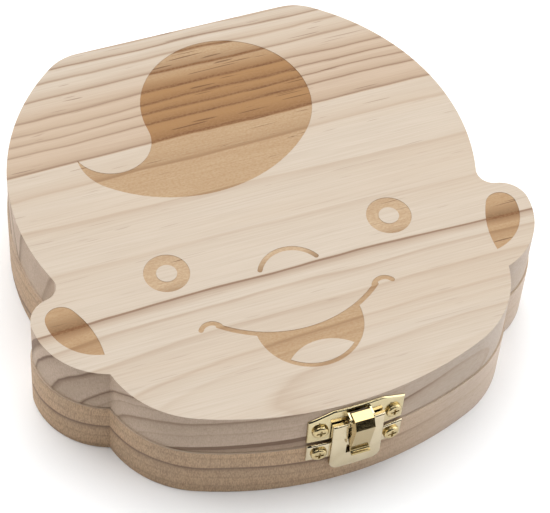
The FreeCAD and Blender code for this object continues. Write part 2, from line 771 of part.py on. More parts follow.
def hinge_pin(name, hinge_x):
    """A plain pin with a peened head at each end."""
    body = new_body(name)
    sketch = new_sketch(body, "XZ_Plane", f"{name}_profile")
    half = sizes.hinge_length.half()
    end = half + sizes.hinge_pin_head
    radius = sizes.hinge_pin_radius
    head_radius = radius + sizes.hinge_pin_head
    polygon(sketch, (
        (-end, ZERO), (end, ZERO), (end, radius), (half, head_radius),
        (half, radius), (-half, radius), (-half, head_radius), (-end, radius),
    ))
    turn(body, sketch, "H_Axis", f"{name}_turned")
    keep(name, place(body, hinge_x, HINGE_AXIS_Y, sizes.base_height))


def hinge(side, hinge_x, outwards):
    """One hinge with its pin and four countersunk screws; returns the screws in the base and in the lid."""
    drills = {}
    seat_y = BACK_EDGE_Y + sizes.leaf_thickness
    for block, rise in (("base", -sizes.hinge_screw_drop), ("lid", sizes.hinge_screw_drop)):
        name = f"{side}_hinge_{block}"
        drills[block] = [
            screw(
                f"{name}_{end}_screw", sizes.sunk_head_radius, ZERO,
                hinge_x + offset, seat_y, sizes.base_height + rise, FACING_BACK,
            )
            for end, offset in (("outer", outwards), ("inner", -outwards))
        ]
        blank = hinge_leaf(f"{name}_leaf", hinge_x, block == "lid")
        holes = group(f"{name}_leaf_holes", drills[block])
        keep(f"{name}_leaf", combine("Cut", f"{name}_leaf_drilled", blank, holes))
    hinge_pin(f"{side}_hinge_pin", hinge_x)
    return drills["base"], drills["lid"]


# Clasp

def at_clasp(item, x=sizes.clasp_x):
    """Place a clasp piece whose own +Y points out of the lid's wall and whose z = 0 is the box's joint."""
    return place(item, x, sizes.chin_front_y, sizes.base_height, TURNED_ROUND)


def wall_shell(name, inner_out, outer_out):
    """A shell that follows the chin's curve between two depths out from the lid's wall."""
    walls = []
    for side, out in (("outside", outer_out), ("inside", inner_out)):
        wall = doc.addObject("Part::Cylinder", f"{name}_{side}")
        bind(wall, Radius=sizes.chin_radius + out, Height=LID_TOP)
        walls.append(place(wall, y=CHIN_CENTRE_Y))
    return combine("Cut", f"{name}_shell", *walls)


def front_block(name, *outlines):
    """A block through the front wall whose front view is the first outline, less the others."""
    body = new_body(f"{name}_block")
    sketch = new_sketch(body, "XZ_Plane", f"{name}_front")
    for outline in outlines:
        polygon(sketch, outline)
    pad(body, sketch, sizes.panel_out.twice() - sizes.chin_front_y, f"{name}_pad")
    return place(body, sizes.clasp_x, ZERO, sizes.base_height)


def clasp_screws(block, rise, seat_out):
    """Two pan-head screws, square to the curved wall."""
    radius = sizes.chin_radius + seat_out
    drills = []
    for side, offset in (("left", -sizes.clasp_screw_spacing.half()), ("right", sizes.clasp_screw_spacing.half())):
        x = sizes.clasp_x + offset
        y = CHIN_CENTRE_Y - square_root(radius * radius - x * x)
        square_on = FreeCAD.Rotation(Z_AXIS, math.degrees(math.asin(x.value / radius.value)))
        drills.append(screw(
            f"clasp_{block}_{side}_screw", sizes.pan_head_radius, sizes.pan_head_height,
            x, y, sizes.base_height + rise, square_on * FACING_FRONT,
        ))
    return drills


def clasp_pin():
    pin = doc.addObject("Part::Cylinder", "clasp_pin")
    half = sizes.tongue_width.half() + sizes.lug_gap + sizes.lug_thickness + sizes.clasp_pin_head
    bind(pin, Radius=sizes.clasp_pin_radius, Height=half.twice())
    y = sizes.chin_front_y - sizes.tongue_axis_out
    z = sizes.base_height + sizes.tongue_axis_rise
    return keep("clasp_pin", place(pin, sizes.clasp_x - half, y, z, FACING_SIDE))


def clasp_lug(name, x):
    """A lug that stands out of the upper plate and holds one end of the pin."""
    body = new_body(name)
    low = sizes.tongue_axis_rise - sizes.lug_radius
    high = sizes.tongue_axis_rise + sizes.lug_radius
    sketch = new_sketch(body, "YZ_Plane", f"{name}_side")
    polygon(sketch, rectangle(sizes.clasp_sheet.half(), sizes.tongue_axis_out, low, high))
    pad(body, sketch, sizes.lug_thickness, f"{name}_arm", symmetric=True)
    sketch = new_sketch(body, "YZ_Plane", f"{name}_round")
    circle(sketch, sizes.tongue_axis_out, sizes.tongue_axis_rise, sizes.lug_radius)
    pad(body, sketch, sizes.lug_thickness, f"{name}_eye", symmetric=True)
    return at_clasp(body, x)


def clasp_upper_plate(pin, drills):
    """A curved plate on the lid, with a slot behind the tongue and a lug on each side of it."""
    half = sizes.clasp_width.half()
    half_top = sizes.upper_plate_top_width.half()
    low, shoulder, top = sizes.upper_plate_low, sizes.upper_plate_shoulder, sizes.upper_plate_top
    outline = ((-half, low), (half, low), (half, shoulder), (half_top, top), (-half_top, top), (-half, shoulder))
    slot_half = sizes.tongue_width.half() + sizes.lug_gap
    slot = rectangle(-slot_half, slot_half, sizes.slot_low, sizes.slot_high)
    block = front_block("clasp_upper", outline, slot)
    sheet_metal = combine("Common", "clasp_upper_sheet", block, wall_shell("clasp_upper", ZERO, sizes.clasp_sheet))
    lug_offset = sizes.tongue_width.half() + sizes.lug_gap + sizes.lug_thickness.half()
    left_lug = clasp_lug("clasp_left_lug", sizes.clasp_x - lug_offset)
    right_lug = clasp_lug("clasp_right_lug", sizes.clasp_x + lug_offset)
    whole = fuse("clasp_upper_whole", [sheet_metal, left_lug, right_lug])
    holes = group("clasp_upper_holes", [pin] + drills)
    keep("clasp_upper_plate", combine("Cut", "clasp_upper_drilled", whole, holes))


def clasp_keeper(drills):
    """A strip on the base that carries a raised panel with a window under its catch bar."""
    half = sizes.panel_width.half()
    window_half = sizes.tongue_width.half() + sizes.window_clearance
    outline = rectangle(-half, half, sizes.panel_low, sizes.panel_top)
    window = rectangle(-window_half, window_half, sizes.window_low, sizes.panel_top - sizes.catch_bar)
    block = front_block("clasp_panel", outline, window)

    def at_low_corner(edge):
        box = edge.BoundBox
        return box.YLength > sizes.panel_out.value and box.ZMax < sizes.window_low.value + sizes.panel_low.value / 2

    round_edges(block, block.Tip, at_low_corner, sizes.panel_corner_radius, "clasp_panel_corners")
    back_out = sizes.clasp_sheet + sizes.panel_back_gap
    thick = combine("Common", "clasp_panel_thick", block, wall_shell("clasp_panel", back_out, sizes.panel_out))

    # The panel is hollow behind and closed at its top, and its two sides stand on the strip
    inner_half = half - sizes.clasp_sheet
    inner = rectangle(-inner_half, inner_half, sizes.panel_low.twice(), sizes.panel_top - sizes.clasp_sheet)
    skin_back = sizes.panel_out - sizes.clasp_sheet
    behind = front_block("clasp_behind", inner)
    hollow = combine("Common", "clasp_hollow", behind, wall_shell("clasp_behind", ZERO, skin_back))
    channel = combine("Cut", "clasp_channel", thick, hollow)

    half_strip = sizes.clasp_width.half()
    strip_outline = rectangle(-half_strip, half_strip, sizes.lower_plate_low, sizes.lower_plate_top)
    strip_shell = wall_shell("clasp_strip", sizes.rim_step, sizes.rim_step + sizes.clasp_sheet)
    strip = combine("Common", "clasp_strip_sheet", front_block("clasp_strip", strip_outline), strip_shell)
    whole = fuse("clasp_keeper_whole", [channel, strip])
    keep("clasp_keeper", combine("Cut", "clasp_keeper_drilled", whole, group("clasp_keeper_holes", drills)))


def tongue_lip(body):
    """The curl at the foot of the tongue that a fingertip lifts."""
    sketch = new_sketch(body, "YZ_Plane", "tongue_lip_side")
    bend = sizes.tongue_foot_rise
    front_radius = sizes.tongue_lip_radius
    back_radius = sizes.tongue_lip_radius + sizes.tongue_sheet
    centre_out = sizes.tongue_foot_out + sizes.tongue_lip_radius
    centre = point(centre_out, bend)
    last = math.pi + math.radians(sizes.tongue_lip_sweep.value)
    front_arc = arc(sketch, centre, front_radius, math.pi, last)
    back_arc = arc(sketch, centre, back_radius, math.pi, last)
    top = line(sketch, polar(centre, back_radius, math.pi), polar(centre, front_radius, math.pi))
    tip = line(sketch, polar(centre, front_radius, last), polar(centre, back_radius, last))
    relate(sketch, "Coincident", back_arc, 3, front_arc, 3)
    relate(sketch, "Coincident", back_arc, 1, top, 1)
    relate(sketch, "Coincident", top, 2, front_arc, 1)
    relate(sketch, "Coincident", front_arc, 2, tip, 1)
    relate(sketch, "Coincident", tip, 2, back_arc, 2)
    fix_x(sketch, front_arc, 3, centre_out)
    fix_y(sketch, front_arc, 3, bend)
    fix_y(sketch, front_arc, 2, bend - front_radius * sine(sizes.tongue_lip_sweep))
    fix_y(sketch, back_arc, 2, bend - back_radius * sine(sizes.tongue_lip_sweep))
    fix_y(sketch, front_arc, 1, bend)
    fix_y(sketch, back_arc, 1, bend)
    pad(body, sketch, sizes.tongue_width, "tongue_lip", symmetric=True)


def clasp_tongue():
    """A tongue folded from sheet: flat crown, sloping brow, long front, and two cheeks that end in hooks.

    Each cheek has a small dimple that snaps it into the keeper's window.
    """
    body = new_body("clasp_tongue")
    sheet_out = sizes.tongue_sheet
    crown = sizes.tongue_axis_rise + sizes.tongue_crown
    crown_back = sizes.tongue_axis_out - sizes.tongue_behind
    crown_front = sizes.tongue_axis_out + sizes.tongue_ahead
    brow_rise = crown - sizes.brow_drop
    brow_out = crown_front + sizes.brow_out
    foot = sizes.tongue_foot_rise
    foot_out = sizes.tongue_foot_out
    hook_top = sizes.panel_top - sizes.catch_bar - sizes.catch_clearance
    bar_front = sizes.panel_out + sizes.catch_clearance
    bar_top = sizes.panel_top + sizes.catch_clearance
    sketch = new_sketch(body, "YZ_Plane", "tongue_side")
    polygon(sketch, (
        (crown_back, crown), (crown_front, crown), (brow_out, brow_rise), (foot_out, foot),
        (foot_out - sheet_out, foot), (sizes.hook_back, sizes.hook_heel_rise), (sizes.hook_back, hook_top),
        (bar_front, hook_top), (bar_front, bar_top), (crown_back, sizes.tongue_axis_rise - sizes.tongue_behind),
    ))
    pad(body, sketch, sizes.tongue_width, "tongue_block", symmetric=True)
    sketch = new_sketch(body, "YZ_Plane", "tongue_inside")
    polygon(sketch, (
        (ZERO, crown - sheet_out), (crown_front - sheet_out, crown - sheet_out), (brow_out - sheet_out, brow_rise),
        (foot_out - sheet_out, foot), (foot_out - sheet_out, foot - sheet_out), (ZERO, foot - sheet_out),
    ))
    pocket(body, sketch, sizes.tongue_width - sheet_out.twice(), "tongue_hollow", symmetric=True)
    tongue_lip(body)
    sketch = new_sketch(body, "YZ_Plane", "tongue_bore_end")
    circle(sketch, sizes.tongue_axis_out, sizes.tongue_axis_rise, sizes.clasp_pin_radius + sizes.running_clearance)
    pocket(body, sketch, sizes.tongue_width.twice(), "tongue_bore", symmetric=True)
    sketch = new_sketch(body, "YZ_Plane", "tongue_snap_side", sizes.tongue_width.half())
    circle(sketch, sizes.snap_out, sizes.snap_rise, sizes.snap_radius)
    mirror(body, pocket(body, sketch, sizes.snap_depth, "tongue_left_snap"), "tongue_right_snap")
    keep("clasp_tongue", at_clasp(body))


# Assembly

base_body = head_block("base_body", ZERO, sizes.base_height, sizes.rim_step)
jaw_wells(base_body, "upper_jaw", sizes.upper_jaw_y, UPWARDS - sizes.jaw_sweep.half())
jaw_wells(base_body, "lower_jaw", sizes.lower_jaw_y, DOWNWARDS - sizes.jaw_sweep.half())
keepsake_hollow(base_body, "upper_hollow", sizes.upper_hollow_y)
keepsake_hollow(base_body, "lower_hollow", sizes.lower_hollow_y)

lid_body = head_block("lid_body", sizes.base_height, sizes.lid_thickness, ZERO)
burn_eyes(lid_body)
burn_nose(lid_body)
burn_smile(lid_body)
burn_mouth(lid_body)
burn_ears(lid_body)
burn_lock(lid_body)

half_spacing = sizes.hinge_screw_spacing.half()
left_base_drills, left_lid_drills = hinge("left", -HINGE_X, -half_spacing)
right_base_drills, right_lid_drills = hinge("right", HINGE_X, half_spacing)

clasp_lid_drills = clasp_screws("lid", sizes.upper_screw_rise, sizes.clasp_sheet)
clasp_base_drills = clasp_screws("base", sizes.lower_screw_rise, sizes.rim_step + sizes.clasp_sheet)
clasp_upper_plate(clasp_pin(), clasp_lid_drills)
clasp_keeper(clasp_base_drills)
clasp_tongue()

base_holes = group("base_holes", left_base_drills + right_base_drills + clasp_base_drills)
lid_holes = group("lid_holes", left_lid_drills + right_lid_drills + clasp_lid_drills)
keep("base_block", combine("Cut", "base_drilled", base_body, base_holes))
keep("lid_block", combine("Cut", "lid_drilled", lid_body, lid_holes))
doc.recompute()

# Every feature has to be sound before anything is written
for item in doc.Objects:
    if "Invalid" in item.State or "Error" in item.State:
        raise RuntimeError(f"{item.Label} failed: {item.State}")
for name, item in pieces.items():
    if item.Shape.isNull() or not item.Shape.isValid() or len(item.Shape.Solids) != 1:
        raise RuntimeError(f"{name} is not one sound solid: {len(item.Shape.Solids)}")

os.makedirs(PARTS_FOLDER, exist_ok=True)
for name, item in pieces.items():
    item.Shape.exportStep(os.path.join(PARTS_FOLDER, f"{name}.step"))
    print(f"{name}: {item.Shape.Volume:.2f} mm3")
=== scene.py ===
# A baby tooth box in pine and brass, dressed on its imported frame: base, lid, hinges, clasp, then the studio.
# Sizes are in metres, in the frame's own axes: clasp towards -Y, hinges towards +Y, +Z up.

import math

import bmesh
import bpy
from mathutils import Matrix, Vector


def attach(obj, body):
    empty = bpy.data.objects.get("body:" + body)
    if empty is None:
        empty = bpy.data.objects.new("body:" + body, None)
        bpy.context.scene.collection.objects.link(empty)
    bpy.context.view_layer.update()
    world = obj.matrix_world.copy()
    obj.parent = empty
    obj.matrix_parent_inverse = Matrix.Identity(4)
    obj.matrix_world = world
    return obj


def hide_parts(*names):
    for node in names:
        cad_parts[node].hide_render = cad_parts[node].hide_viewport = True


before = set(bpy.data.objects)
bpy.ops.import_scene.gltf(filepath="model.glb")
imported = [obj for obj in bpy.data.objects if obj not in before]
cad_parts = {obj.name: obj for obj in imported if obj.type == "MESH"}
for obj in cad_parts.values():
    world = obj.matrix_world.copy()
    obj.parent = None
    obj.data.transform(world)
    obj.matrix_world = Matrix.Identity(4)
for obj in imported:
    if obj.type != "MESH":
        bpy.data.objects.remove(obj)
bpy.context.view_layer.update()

# Base block: a slab of pine, routed to the head's outline and drilled from above.
# The walls keep the cutter's fuzz, most of all on those facing left and front, and every sharp edge is eased.
# Their tones carry painted shade, darker at the right, and painted light, lighter and warmer at the left and
# front.
MM = 0.001
SAME_POINT = 0.002 * MM
SAME_LEVEL = 0.02 * MM
NEARLY_FLAT = math.radians(0.1)
SHARP_EDGE = math.radians(35)
SHADED_ROUND = math.radians(32)


def select_only(piece):
    bpy.ops.object.select_all(action="DESELECT")
    piece.select_set(True)
    bpy.context.view_layer.objects.active = piece


def worked_copy(node_name, piece_name):
    """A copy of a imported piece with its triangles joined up, ready to be worked on."""
    piece = bpy.data.objects.new(piece_name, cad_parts[node_name].data.copy())
    bpy.context.scene.collection.objects.link(piece)
    piece.data.materials.clear()
    select_only(piece)
    bpy.ops.mesh.customdata_custom_splitnormals_clear()
    bpy.ops.object.mode_set(mode="EDIT")
    bpy.ops.mesh.select_all(action="SELECT")
    bpy.ops.mesh.remove_doubles(threshold=SAME_POINT)
    bpy.ops.mesh.dissolve_limited(angle_limit=NEARLY_FLAT)
    bpy.ops.object.mode_set(mode="OBJECT")
    return piece


def ease(piece, chosen, width, segments, clamp=True):
    """Round over the sharp edges that a test picks, leaving the rest as they are."""
    select_only(piece)
    bpy.ops.object.mode_set(mode="EDIT")
    bpy.ops.mesh.select_mode(type="EDGE")
    bpy.ops.mesh.select_all(action="DESELECT")
    mesh = bmesh.from_edit_mesh(piece.data)
    for edge in mesh.edges:
        if len(edge.link_faces) == 2 and edge.calc_face_angle() > SHARP_EDGE:
            edge.select_set(bool(chosen(edge)))
    bmesh.update_edit_mesh(piece.data)
    bpy.ops.mesh.bevel(offset=width, segments=segments, profile=0.5, clamp_overlap=clamp, loop_slide=clamp)
    bpy.ops.object.mode_set(mode="OBJECT")


def height_of(face):
    rises = [corner.co.z for corner in face.verts]
    return max(rises) - min(rises)


def level(edge, z):
    """Both ends of an edge lie at this height."""
    return all(abs(corner.co.z - z) < SAME_LEVEL for corner in edge.verts)


def finish_piece(piece, body, slot, *nodes):
    """Shade a piece with its flats kept flat and let it ride on its body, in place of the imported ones."""
    select_only(piece)
    bpy.ops.object.shade_smooth_by_angle(angle=SHADED_ROUND)
    evened = piece.modifiers.new("evened", "WEIGHTED_NORMAL")
    evened.keep_sharp = True
    bpy.ops.object.modifier_apply(modifier=evened.name)
    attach(piece, body)
    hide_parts(*nodes)


def feed(tree, socket, value):
    """Link another node's output to a socket, or set a plain value on it."""
    if isinstance(value, bpy.types.NodeSocket):
        tree.links.new(value, socket)
    else:
        socket.default_value = value


def calc(tree, operation, *values):
    node = tree.nodes.new("ShaderNodeMath")
    node.operation = operation
    for socket, value in zip(node.inputs, values):
        feed(tree, socket, value)
    return node.outputs[0]


def spread(tree, value, low, high, new_low, new_high):
    """Carry a value from one range over to another, held at its ends."""
    node = tree.nodes.new("ShaderNodeMapRange")
    given = {"Value": value, "From Min": low, "From Max": high, "To Min": new_low, "To Max": new_high}
    for name, number in given.items():
        feed(tree, node.inputs[name], number)
    return node.outputs["Result"]


def drawn_out(tree, place, fineness):
    """Coordinates scaled unevenly, so that a pattern runs along the grain."""
    node = tree.nodes.new("ShaderNodeMapping")
    feed(tree, node.inputs["Vector"], place)
    node.inputs["Scale"].default_value = fineness
    return node.outputs["Vector"]


def noise(tree, place, detail=2.0, scale=1.0):
    node = tree.nodes.new("ShaderNodeTexNoise")
    feed(tree, node.inputs["Vector"], place)
    node.inputs["Scale"].default_value = scale
    node.inputs["Detail"].default_value = detail
    return node.outputs["Fac"]


def tint(tree, amount, first, second):
    """Mix two colours by an amount."""
    node = tree.nodes.new("ShaderNodeMix")
    node.data_type = "RGBA"
    colours = [socket for socket in node.inputs if socket.type == "RGBA"]
    feed(tree, node.inputs["Factor"], amount)
    feed(tree, colours[0], first)
    feed(tree, colours[1], second)
    return next(socket for socket in node.outputs if socket.type == "RGBA")


def new_material(name):
    material = bpy.data.materials.new(name)
    material.use_nodes = True
    return material, material.node_tree, material.node_tree.nodes["Principled BSDF"]


def in_millimetres(tree):
    """The piece's own coordinates, in millimetres."""
    here = tree.nodes.new("ShaderNodeTexCoord")
    scaled = tree.nodes.new("ShaderNodeVectorMath")
    scaled.operation = "SCALE"
    tree.links.new(here.outputs["Object"], scaled.inputs["Vector"])
    scaled.inputs["Scale"].default_value = 1000.0
    return scaled.outputs["Vector"]


def own_normal(tree):
    return tree.nodes.new("ShaderNodeTexCoord").outputs["Normal"]


def parts_of(tree, vector):
    node = tree.nodes.new("ShaderNodeSeparateXYZ")
    tree.links.new(vector, node.inputs["Vector"])
    return node.outputs


def raise_grain(tree, shader, height, strength, depth):
    """Let a pattern stand up as fine relief."""
    bump = tree.nodes.new("ShaderNodeBump")
    bump.inputs["Strength"].default_value = strength
    bump.inputs["Distance"].default_value = depth
    tree.links.new(height, bump.inputs["Height"])
    tree.links.new(bump.outputs["Normal"], shader.inputs["Normal"])


# How fine a pattern is per millimetre: along the grain, across it and upwards
LONG_BEND = (0.011, 0.03, 0.03)
SHORT_RIPPLE = (0.05, 0.16, 0.16)
RIPPLE_SHARE = 0.35
# A ring's two shades: share of its darkness, share of its depth before the line, and mm past the line
BROAD_SHADE = (0.6, 1.0, 0.3)
THIN_LINE = (1.3, 0.4, 0.25)
DARKEST_AT = -0.1
PITH_MARGIN = 8.0
BARK_MARGIN = 4.0


def growth_rings(tree, place, pith, lean, rings, waver):
    """How dark the rings make the wood, and the distance from the pith that they follow.

    Each ring shades the wood slowly from the pith's side and ends in a thin line towards the bark.
    A ring's darkness above 1 makes its line wider.
    """
    bend = noise(tree, drawn_out(tree, place, LONG_BEND))
    ripple = noise(tree, drawn_out(tree, place, SHORT_RIPPLE))
    x, y, z = parts_of(tree, place)
    across = calc(tree, "MULTIPLY_ADD", x, -lean[0], calc(tree, "SUBTRACT", y, pith[0]))
    up = calc(tree, "MULTIPLY_ADD", x, -lean[1], calc(tree, "SUBTRACT", z, pith[1]))
    squares = calc(tree, "ADD", calc(tree, "POWER", across, 2.0), calc(tree, "POWER", up, 2.0))
    radius = calc(tree, "SQRT", squares)
    for swing, reach in ((bend, waver), (ripple, waver * RIPPLE_SHARE)):
        radius = calc(tree, "MULTIPLY_ADD", calc(tree, "SUBTRACT", swing, 0.5), reach, radius)
    first = rings[0][0] - PITH_MARGIN
    last = rings[-1][0] + BARK_MARGIN
    along = spread(tree, radius, first, last, 0.0, 1.0)
    shades = []
    for share, before, after in (BROAD_SHADE, THIN_LINE):
        ramp = tree.nodes.new("ShaderNodeValToRGB")
        feed(tree, ramp.inputs["Fac"], along)
        stops = ramp.color_ramp.elements
        stops[0].color = (0, 0, 0, 1)
        stops[1].color = (0, 0, 0, 1)
        for ring, dark, fade in rings:
            deep = min(dark * share, max(dark, 1.0))
            for out, shade in ((-fade * before, 0.0), (DARKEST_AT, deep), (after, 0.0)):
                stop = stops.new((ring + out - first) / (last - first))
                stop.color = (shade, shade, shade, 1)
        shades.append(ramp.outputs["Color"])
    return calc(tree, "MAXIMUM", *shades), radius


FIBRES = (0.05, 2.6, 2.6)
CLOUDS = (0.012, 0.09, 0.09)
DASHES = (0.11, 2.2, 2.2)
LINT = (4.6, 4.6, 1.0)
HONEY_PINE = (0.35, 0.235, 0.135, 1)
BROWN_PINE = (0.205, 0.122, 0.075, 1)
DENSE_PINE = (0.41, 0.275, 0.172, 1)
CLOUDED_PINE = (0.435, 0.33, 0.235, 1)
RESIN_DASH = (0.15, 0.08, 0.045, 1)
# How far each of these goes towards its colour
DENSE_SHARE = 0.5
# The share of painted shade on every wall, darker and greyer than the top
WALL_SHADE_SHARE = 0.6
FIBRE_SHARE = 0.18
CLOUD_SHARE = 0.34
DASH_SHARE = 0.55
LINT_SHARE = 0.17
# How strongly the rings show on a smooth wall, and how much more on a torn one
SIDE_GRAIN = 0.6
TORN_GRAIN = 2.0


def pine(name, growth, pale, shaded_wall, lit_torn_wall, lit_torn_share, fuzziness):
    """Sanded pine with rings, fine fibres and a few resin dashes.

    Its walls are smooth at the right and rough at the left and front, where the cutter tore them and lint
    stands up. Their tones are painted shade at the right, darker and greyer than the top, and painted light at
    the left and front, lighter and warmer.
    """
    material, tree, shader = new_material(name)
    place = in_millimetres(tree)
    ring, dense, *_ = growth(tree, place)
    fibre = noise(tree, drawn_out(tree, place, FIBRES), detail=4.0)
    cloud = noise(tree, drawn_out(tree, place, CLOUDS))
    fuzz = noise(tree, drawn_out(tree, place, LINT), detail=4.0)
    dash = spread(tree, noise(tree, drawn_out(tree, place, DASHES), detail=0.0), 0.77, 0.82, 0.0, 1.0)
    more_behind = spread(tree, parts_of(tree, place)[1], -5.0, 30.0, 0.3, 1.0)
    dash = calc(tree, "MULTIPLY", dash, more_behind)
    facing_x, _, facing_z = parts_of(tree, own_normal(tree))
    wall = spread(tree, calc(tree, "ABSOLUTE", facing_z), 0.3, 0.8, 1.0, 0.0)
    # Walls not facing right: the cutter tore them, and they carry painted light
    torn_and_lit_side = calc(tree, "MULTIPLY", wall, spread(tree, facing_x, -0.05, 0.35, 1.0, 0.0))
    lint = calc(tree, "MULTIPLY", torn_and_lit_side, spread(tree, fuzz, 0.40, 0.66, 0.0, LINT_SHARE * fuzziness))
    grain = calc(tree, "MULTIPLY_ADD", torn_and_lit_side, TORN_GRAIN, spread(tree, wall, 0.0, 1.0, 1.0, SIDE_GRAIN))
    depth = calc(tree, "MINIMUM", calc(tree, "MULTIPLY", ring, grain), 1.0)

    colour = tint(tree, calc(tree, "MULTIPLY", dense, DENSE_SHARE), pale, DENSE_PINE)
    # Painted shade: every wall is darkened and greyed towards a set tone
    colour = tint(tree, calc(tree, "MULTIPLY", wall, WALL_SHADE_SHARE), colour, shaded_wall)
    # Painted light: the walls facing left and front are lifted to a lighter, warmer tone, over their torn wood
    colour = tint(tree, calc(tree, "MULTIPLY", torn_and_lit_side, lit_torn_share), colour, lit_torn_wall)
    colour = tint(tree, depth, colour, tint(tree, depth, HONEY_PINE, BROWN_PINE))
    colour = tint(tree, spread(tree, fibre, 0.35, 0.75, 0.0, FIBRE_SHARE), colour, BROWN_PINE)
    colour = tint(tree, spread(tree, cloud, 0.38, 0.66, 0.0, CLOUD_SHARE), colour, CLOUDED_PINE)
    colour = tint(tree, calc(tree, "MULTIPLY", dash, DASH_SHARE), colour, RESIN_DASH)
    colour = tint(tree, lint, colour, BROWN_PINE)
    tree.links.new(colour, shader.inputs["Base Color"])
    tree.links.new(spread(tree, fibre, 0.3, 0.7, 0.5, 0.68), shader.inputs["Roughness"])
    shader.inputs["Specular IOR Level"].default_value = 0.3

    relief = calc(tree, "MULTIPLY_ADD", fuzz, calc(tree, "MULTIPLY", torn_and_lit_side, fuzziness), fibre)
    relief = calc(tree, "MULTIPLY_ADD", ring, 0.5, relief)
    raise_grain(tree, shader, relief, strength=0.55, depth=0.06 * MM)
    return material


BASE_PITH = (-65.0, -400.0)
UPRIGHT = (0.0, 0.0)
# Each ring: distance from the pith in mm, darkness, and the depth of wood over which it darkens
BASE_RINGS = (
    (402.6, 0.12, 2.5), (406.2, 0.10, 2.5), (409.9, 0.34, 4.5), (413.8, 0.10, 2.0), (417.6, 0.16, 2.5),
    (422.0, 0.24, 3.0), (426.4, 0.34, 3.0), (431.0, 0.30, 3.0),
)
PALE_BASE = (0.60, 0.475, 0.36, 1)
# Wall tones: painted shade on every wall, and painted light lifting those facing left and front
SHADED_BASE_WALL = (0.49, 0.39, 0.325, 1)
LIT_TORN_BASE_WALL = (0.66, 0.44, 0.255, 1)


def base_growth(tree, place):
    """The base's board was sawn far from the pith, so that its rings run nearly level along its walls."""
    ring, _ = growth_rings(tree, place, BASE_PITH, UPRIGHT, BASE_RINGS, waver=3.0)
    return ring, 0.0


base = worked_copy("base_block", "base")
base.data.materials.append(pine(
    "pine_base", base_growth, PALE_BASE, SHADED_BASE_WALL, LIT_TORN_BASE_WALL, lit_torn_share=0.85, fuzziness=3.0,
))
LID_JOINT = 15.5 * MM
WELL_FLOOR = LID_JOINT - 10 * MM
TALL_WALL = 12 * MM
WELL_FILLET = 0.8 * MM
WELL_RIM_EASE = 0.35 * MM
FOOT_EASE = 0.35 * MM
BASE_TOP_EASE = 0.12 * MM


def along_walls(edge, height):
    """An edge at this height that borders the tall outer wall."""
    return level(edge, height) and any(height_of(face) > TALL_WALL for face in edge.link_faces)


def base_foot(edge):
    return along_walls(edge, 0)


def base_top(edge):
    return along_walls(edge, LID_JOINT)


def base_rims(edge):
    return level(edge, LID_JOINT) and not base_top(edge)


def base_floors(edge):
    return level(edge, WELL_FLOOR)


ease(base, base_floors, WELL_FILLET, 3)
ease(base, base_rims, WELL_RIM_EASE, 2)
ease(base, base_foot, FOOT_EASE, 3)
ease(base, base_top, BASE_TOP_EASE, 2)
finish_piece(base, "base", "pine_base", "base_block")

# Lid block: the upper half of the head, from a paler board, sanded on top.
# The face and the lock of hair are burnt in a fraction of a millimetre deep, so they are brown and speckled.
CHIN_PITH = (-54.0, 14.7)
CHIN_LEAN = (-0.052, 0.13)
CROWN_PITH = (85.0, -10.0)
FRONT_RINGS = (
    (6.8, 0.62, 4.5), (11.5, 0.10, 2.5), (16.0, 0.26, 4.1), (19.6, 0.16, 1.4), (21.9, 0.36, 1.9),
    (27.7, 0.32, 5.0), (33.2, 0.38, 3.0), (37.2, 1.3, 2.4), (50.4, 0.20, 6.0), (63.0, 0.30, 6.5),
)
BACK_RINGS = (
    (47.6, 0.48, 1.4), (49.7, 0.80, 1.6), (52.0, 0.70, 1.6), (55.2, 0.82, 2.2), (59.2, 0.84, 2.4),
    (61.8, 0.86, 1.6), (63.9, 0.80, 1.4), (66.3, 0.84, 1.8), (71.0, 0.95, 3.2), (76.9, 0.36, 3.5),
)
# Where the dense wood begins, is full, starts to end and has ended, in mm from the crown's pith
DENSE_FROM, DENSE_FULL, DENSE_LINE, DENSE_END = 54.0, 59.5, 71.0, 71.4
# Where the resin begins, is darkest and has faded, in mm from the chin's pith
RESIN_FROM, RESIN_LINE, RESIN_END = 36.6, 37.2, 41.0


def lid_growth(tree, place):
    """The lid's board curves round two piths, one under the chin and one behind the crown.

    The wood between the strongest rings at the back is denser than the rest.
    Resin lies behind the ring that runs through the ears.
    """
    front, front_radius = growth_rings(tree, place, CHIN_PITH, CHIN_LEAN, FRONT_RINGS, waver=3.0)
    back, back_radius = growth_rings(tree, place, CROWN_PITH, UPRIGHT, BACK_RINGS, waver=3.2)
    thickening = spread(tree, back_radius, DENSE_FROM, DENSE_FULL, 0.0, 1.0)
    dense = calc(tree, "MULTIPLY", spread(tree, back_radius, DENSE_LINE, DENSE_END, 1.0, 0.0), thickening)
    fading = spread(tree, front_radius, RESIN_LINE, RESIN_END, 1.0, 0.0)
    resin = calc(tree, "MULTIPLY", spread(tree, front_radius, RESIN_FROM, RESIN_LINE, 0.0, 1.0), fading)
    return calc(tree, "MAXIMUM", front, back), dense, resin


BURNT_FIBRES = (0.08, 2.4, 2.4)
SPECKS = (1.5, 2.4, 2.4)
BURNT_DENSE = (0.285, 0.148, 0.055, 1)
BURNT_RESIN = (0.125, 0.06, 0.024, 1)
BURNT_RING = (0.15, 0.066, 0.026, 1)
BURNT_FIBRE = (0.26, 0.135, 0.06, 1)
BURNT_SPECK = (0.30, 0.169, 0.083, 1)
BURNT_DASH = (0.10, 0.042, 0.02, 1)


